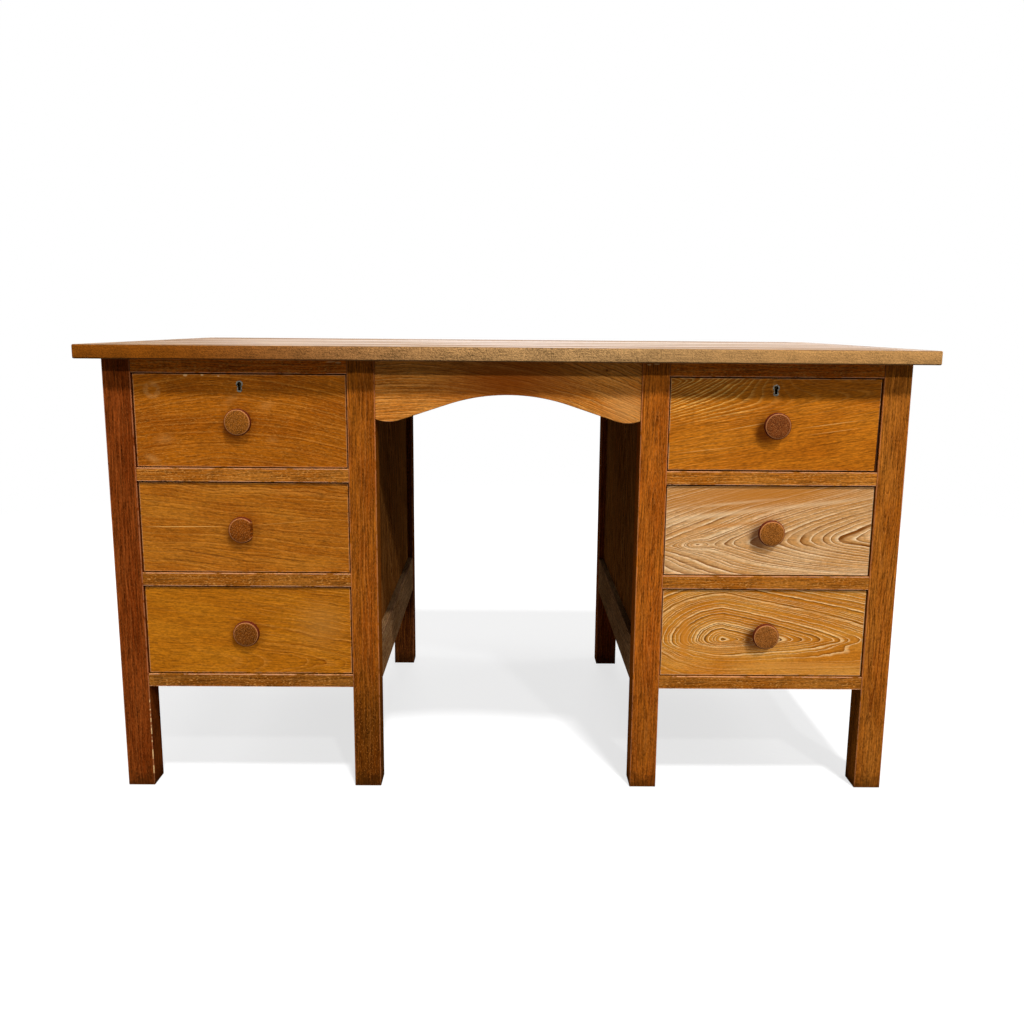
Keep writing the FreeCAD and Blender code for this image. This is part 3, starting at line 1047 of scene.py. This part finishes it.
def frontEdge(shader, colour, local):  # the worn front edge is redder at the left and paler at the right
    x, y, z = shader.place()
    left, middle, right = [paint(*edgeLook[key]) for key in ("left", "middle", "right")]
    tint = shader.mix(x.ease(*edgeLook["leftToMiddle"]), left, middle)
    tint = shader.mix(x.ease(*edgeLook["middleToRight"]), tint, right)
    dots = edgeCloud(shader, (x, y, z), edgeLook["dotSize"], 0.0).spread()
    speckle = edgeCloud(shader, (x + z, y, z), edgeLook["speckleSize"], 1.0).spread(0.32, 0.68)
    streaks = edgeCloud(shader, (x, y, z), edgeLook["streakSize"], 2.0).spread()
    blots = edgeCloud(shader, (x, y, z), edgeLook["blotSize"], 3.0).spread(0.35, 0.65)
    byDots, bySpeckle, byStreaks, byBlots = edgeLook["shares"]
    grime = dots * byDots + speckle * bySpeckle + streaks * byStreaks + blots * byBlots
    rough = x.ease(*edgeLook["smoothLeft"]) * x.ease(*edgeLook["smoothRight"])
    tint = shader.shade(tint, 1 + grime * rough)
    tint = shader.shade(tint, z.ease(underside, upperFace, *edgeLook["upright"]))
    # painted shade along both arrises of the front edge, patchy with the blots
    arris = (z - underside).least(upperFace - z).ease(*edgeLook["arris"])
    worn, uneven = edgeLook["arrisShade"]
    tint = shader.shade(tint, 1 - arris * (worn + blots * uneven))
    colour = shader.shade(colour, x.ease(*edgeLook["darkLeft"]))
    behind, before = [frontFace + part for part in edgeLook["depth"]]
    return shader.mix(y.ease(behind, before), colour, tint)


dressPiece("top_boards", "xyz", topLook, {"y": (5, pieceWidth["board"])}, marks=[frontEdge])
dressPiece("top_ends", "yxz", {**topLook, "seed": 6}, {"x": (2, pieceWidth["end"])}, marks=[frontEdge])
print("top dressed")


# Drawer boxes: two sides and a back of solid wood, and a plywood bottom
boxLook = {**liningLook, "turnPast": 12.0}
plyLook = {**liningLook, "ground": (206, 168, 116), "eye": (0, 0), "buried": 30.0, "spacing": 14.0}
rowNames = ("top", "middle", "bottom")
for side in ("left", "right"):
    for row in rowNames:
        name = side + "_" + row + "_drawer"
        seed = 50 + rowNames.index(row) + (3 if side == "right" else 0)
        dressPiece(name + "_box", "yzx", {**boxLook, "seed": seed})
        dressPiece(name + "_bottom", "xyz", {**plyLook, "seed": seed})
print("drawer boxes dressed")


# Knobs, turned with their spigots. Each outline point is a radius and a height above the drawer front.
knobLook = {
    "outline": [
        (0, -20), (6, -20), (6, 0), (13, 0), (13.1, 3), (13.9, 6.5), (15.6, 10), (18.2, 13.6), (20.7, 16.2),
        (21.5, 17.4), (21.75, 18.8), (21.7, 22.4), (21.3, 23.7), (20.4, 24.6), (19, 25.1), (14, 25.6),
        (7, 25.9), (0, 26),
    ],
    "steps": 72,
    "spigot": 20,
    "wobble": 0.35,
    "wobbleTurns": 1.3,
    "sharpAngle": 50,
    "side": (84, 28, 12),
    "dark": (44, 16, 6),
    "pale": (206, 142, 80),
    "scratch": (196, 132, 84),
    "scratchRadius": 19.6,
    "rim": (20.0, 20.8),
    "speckleScale": 0.65,
    "dotScale": 0.75,
    "blotchScale": 0.07,
    "ringMiddle": (30, -40),
    "ringScale": 1.6,
    "ringSway": 9,
    "base": (-6, 2),
    "roughness": 0.45,
}
knobTints = {
    "left_top": (131, 75, 17),
    "left_middle": (118, 58, 5),
    "left_bottom": (104, 54, 7),
    "right_top": (112, 56, 20),
    "right_middle": (137, 80, 26),
    "right_bottom": (134, 78, 28),
}
chippedKnob = {"name": "left_middle", "flat": 14.5, "above": 8.0, "ragged": 1.6, "lean": 0.12, "leanFrom": 24}


def knobMaterial(name, middle, front, tint, seed):
    material, shader = newMaterial(name)
    x, y, z = shader.place()
    x, y, z = x - middle[0], y - front, z - middle[1]
    radius = x.diagonal(z)
    spot = shader.join(x + seed * 50, y / 9, z)
    speckle = shader.cloud(spot, knobLook["speckleScale"], detail=2.0, roughness=0.6)
    dots = shader.cloud(spot, knobLook["dotScale"], detail=0.0)
    blotches = shader.cloud(spot, knobLook["blotchScale"], detail=2.0)
    ringX, ringZ = knobLook["ringMiddle"]
    bow = (x - ringX).diagonal(z - ringZ) + blotches * knobLook["ringSway"]
    rings = shader.math("SINE", bow * knobLook["ringScale"])
    shade = 1 + speckle.spread() * 1.1 + (blotches - 0.5) * 0.8 + rings * 0.08
    face = shader.shade(paint(*tint), shade)
    face = shader.mix(dots.ease(0.58, 0.66) * 0.5, face, paint(*knobLook["dark"]))
    face = shader.mix(dots.ease(0.4, 0.32) * 0.3, face, paint(*knobLook["pale"]))
    scratch = abs(radius - knobLook["scratchRadius"]).ease(0.9, 0.3)
    face = shader.mix(scratch * 0.5, face, paint(*knobLook["scratch"]))
    # The flank is painted dark, partly its own colour and partly painted shade under the head.
    side = shader.shade(paint(*knobLook["side"]), 0.8 + speckle * 0.4)
    colour = shader.mix(radius.ease(*knobLook["rim"]) * 0.95, face, side)
    # painted shade at the neck, where the knob meets the drawer front
    colour = shader.mix((y + 4).ease(*knobLook["base"]) * 0.7, colour, paint(*knobLook["dark"]))
    roughness = knobLook["roughness"] + (speckle - 0.5) * 0.5
    height = speckle * 0.1 - dots.ease(0.6, 0.68) * 0.06
    finishMaterial(shader, colour, roughness, height, {"Specular IOR Level": 0.05})
    return material


def knobPoint(place, seed, angle, radius, out):  # right and up from the knob's middle, in millimetres
    aside, rise = radius * math.cos(angle), radius * math.sin(angle)
    turns = knobLook["wobbleTurns"]
    if out > 0:
        spot = Vector((math.cos(angle) * turns, math.sin(angle) * turns, seed * 7.0 + out * 0.04))
        swell = 1 - abs(noise.noise(spot)) * knobLook["wobble"] / radius
        aside, rise = aside * swell, rise * swell
    if place == chippedKnob["name"] and out > chippedKnob["above"]:
        ragged = noise.noise(Vector((rise * 0.35, out * 0.2, 3.0))) * chippedKnob["ragged"]
        leaning = max(0.0, chippedKnob["leanFrom"] - out) * chippedKnob["lean"]
        aside = min(aside, chippedKnob["flat"] + ragged + leaning)
    return aside, rise


def makeKnob(place, seed):
    node = place + "_drawer_knob"
    low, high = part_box(node)
    middle = ((low.x + high.x) / 2 / mm, (low.z + high.z) / 2 / mm)
    front = high.y / mm - knobLook["spigot"]
    outline, steps = knobLook["outline"], knobLook["steps"]
    points, faces = [], []
    for radius, out in outline[1:-1]:
        for step in range(steps):
            aside, rise = knobPoint(place, seed, 2 * math.pi * step / steps, radius, out)
            points.append(((middle[0] + aside) * mm, (front - out) * mm, (middle[1] + rise) * mm))
    rows = len(outline) - 2
    for row in range(rows - 1):
        for step in range(steps):
            a, b = row * steps + step, row * steps + (step + 1) % steps
            faces.append((a, b, b + steps, a + steps))
    for row, height, turn in ((0, outline[0][1], 1), (rows - 1, outline[-1][1], -1)):
        hub = len(points)
        points.append((middle[0] * mm, (front - height) * mm, middle[1] * mm))
        for step in range(steps):
            a, b = row * steps + step, row * steps + (step + 1) % steps
            faces.append((hub, b, a)[::turn])
    mesh = bpy.data.meshes.new(place + "_turned_knob")
    mesh.from_pydata(points, [], faces)
    mesh.polygons.foreach_set("use_smooth", [True] * len(mesh.polygons))
    mesh.set_sharp_from_angle(angle=math.radians(knobLook["sharpAngle"]))
    mesh.materials.append(knobMaterial(place + "_knob_wood", middle, front, knobTints[place], seed))
    knob = bpy.data.objects.new(place + "_turned_knob", mesh)
    bpy.context.scene.collection.objects.link(knob)
    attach(knob, place + "_drawer")
    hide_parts(node)
    return knob


knobs = [makeKnob(place, seed) for seed, place in enumerate(knobTints)]
print("knobs turned:", len(knobs))


# Metal
metalLook = {
    "spotScale": 0.35,
    "spotAt": (0.42, 0.62),
    "spotRough": 0.4,
    "scratchRough": 0.2,
    "scratchDepth": 0.05,
}


def metalMaterial(name, colour, tarnish, roughness):
    material, shader = newMaterial(name)
    x, y, z = shader.place()
    spotted = shader.cloud(shader.join(x, y, z), metalLook["spotScale"], detail=4.0, roughness=0.7)
    scratches = shader.cloud(shader.join(x * 2, y, z / 6), 1.0, detail=2.0) - 0.5
    mixed = shader.mix(spotted.ease(*metalLook["spotAt"]), paint(*colour), paint(*tarnish))
    rough = roughness + (spotted - 0.5) * metalLook["spotRough"] + scratches * metalLook["scratchRough"]
    finishMaterial(shader, mixed, rough, scratches * metalLook["scratchDepth"], {"Metallic": 1.0})
    return material


steelMetal = metalMaterial("worn_steel", (112, 108, 98), (60, 54, 46), 0.5)
brassMetal = metalMaterial("dull_brass", (196, 158, 92), (120, 88, 46), 0.4)
for side in ("left", "right"):
    for part, metal in (("_escutcheon", steelMetal), ("_lock_case", brassMetal)):
        dress(side + part, metal)
        softenEdges(side + part, 0.4)
    dress(side + "_lock_bolt", brassMetal)
dress("top_screws", steelMetal)
print("metal dressed")


# Light, floor and camera
stageLook = {
    "keyFrom": (0.3, -1.0, 2.07),
    "keyStrength": 4.05,
    "keySpread": 5.0,
    "lowFrom": (0.35, -1.0, 0.87),
    "lowStrength": 1.08,
    "lowSpread": 3.0,
    "backFrom": (0.0, 1.0, 0.8),
    "backStrength": 1.2,
    "leftFrom": (-1.0, 0.0, 0.9),
    "rightFrom": (1.0, 0.1, 0.9),
    "sideStrength": 1.1,
    "fillSpread": 25.0,
    "ambient": 0.13,
    "floorBounce": 0.1,
    "floorGrey": 0.75,
    "floorGlow": 0.72,
    "floorFade": (1.2, 3.0),
    "floorSize": 60.0,
}
white = (1.0, 1.0, 1.0, 1.0)


def makeSun(name, towards, strength, spread, spared=()):
    light = bpy.data.lights.new(name, "SUN")
    light.energy = strength
    light.angle = math.radians(spread)
    lamp = bpy.data.objects.new(name, light)
    lamp.rotation_euler = Vector(towards).to_track_quat("Z", "Y").to_euler()
    bpy.context.scene.collection.objects.link(lamp)
    if spared:  # these pieces cast no shadow in this light, as if it came from a wide lamp
        blockers = bpy.data.collections.new(name + "_spared")
        for piece in spared:
            blockers.objects.link(piece)
        for entry in blockers.collection_objects:
            entry.light_linking.link_state = "EXCLUDE"
        lamp.light_linking.blocker_collection = blockers


makeSun("key_light", stageLook["keyFrom"], stageLook["keyStrength"], stageLook["keySpread"], knobs)
makeSun("low_light", stageLook["lowFrom"], stageLook["lowStrength"], stageLook["lowSpread"])
for name, strength in (("back", "backStrength"), ("left", "sideStrength"), ("right", "sideStrength")):
    makeSun(name + "_light", stageLook[name + "From"], stageLook[strength], stageLook["fillSpread"])


def seenDirectly(shader):  # camera, glossy and transmission rays see the pale background itself
    path = shader.node("ShaderNodeLightPath", {}, {}).socket.node.outputs
    rays = [Value(shader, path[key]) for key in ("Is Camera Ray", "Is Glossy Ray", "Is Transmission Ray")]
    return rays[0].most(rays[1]).most(rays[2])


def makeWorld():
    world = bpy.data.worlds.new("studio")
    world.use_nodes = True
    bpy.context.scene.world = world
    shader = Shader(world.node_tree)
    fill = shader.node("ShaderNodeBackground", {}, {"Color": white, "Strength": stageLook["ambient"]})
    sky = shader.node("ShaderNodeBackground", {}, {"Color": white, "Strength": 1.0})
    both = shader.node("ShaderNodeMixShader", {}, {0: seenDirectly(shader), 1: fill, 2: sky})
    shader.node("ShaderNodeOutputWorld", {}, {"Surface": both})


def makeFloor():
    size = stageLook["floorSize"] / 2
    mesh = bpy.data.meshes.new("floor")
    corners = [(-size, -size, 0), (size, -size, 0), (size, size, 0), (-size, size, 0)]
    mesh.from_pydata(corners, [], [(0, 1, 2, 3)])
    floor = bpy.data.objects.new("floor", mesh)
    bpy.context.scene.collection.objects.link(floor)
    material, shader = newMaterial("pale_floor")
    x, y = [part * mm for part in shader.place()[:2]]
    far = x.diagonal(y).ease(*stageLook["floorFade"])
    dim, grey = [(stageLook[key],) * 3 + (1.0,) for key in ("floorBounce", "floorGrey")]
    bounce = shader.node("ShaderNodeBsdfDiffuse", {}, {"Color": dim})
    lit = shader.node("ShaderNodeBsdfDiffuse", {}, {"Color": grey})
    glow = shader.node("ShaderNodeEmission", {}, {"Color": white, "Strength": 1.0})
    seen = shader.node("ShaderNodeMixShader", {}, {0: far.most(stageLook["floorGlow"]), 1: lit, 2: glow})
    both = shader.node("ShaderNodeMixShader", {}, {0: seenDirectly(shader), 1: bounce, 2: seen})
    shader.node("ShaderNodeOutputMaterial", {}, {"Surface": both})
    mesh.materials.append(material)


cameraLook = {
    "placeMm": (-7.499, -1975.804, 788.278),
    "yaw": 0.00917,
    "pitch": 0.18576,
    "roll": -0.00827,
    "lens": 35.22,
}


def makeCamera():
    yaw, pitch, roll = cameraLook["yaw"], cameraLook["pitch"], cameraLook["roll"]
    forward = Vector((math.sin(yaw) * math.cos(pitch), math.cos(yaw) * math.cos(pitch), -math.sin(pitch)))
    level = Vector((math.cos(yaw), -math.sin(yaw), 0))
    down = forward.cross(level)
    right = level * math.cos(roll) + down * math.sin(roll)
    up = level * math.sin(roll) - down * math.cos(roll)
    camera = bpy.data.objects.new("camera", bpy.data.cameras.new("camera"))
    camera.data.lens = cameraLook["lens"]
    camera.data.sensor_width = 36.0
    place = Matrix((right, up, -forward)).transposed().to_4x4()
    place.translation = Vector(cameraLook["placeMm"]) * mm
    camera.matrix_world = place
    bpy.context.scene.collection.objects.link(camera)
    bpy.context.scene.camera = camera


makeWorld()
makeFloor()
makeCamera()
bpy.context.scene.view_settings.view_transform = "Standard"
print("stage made")
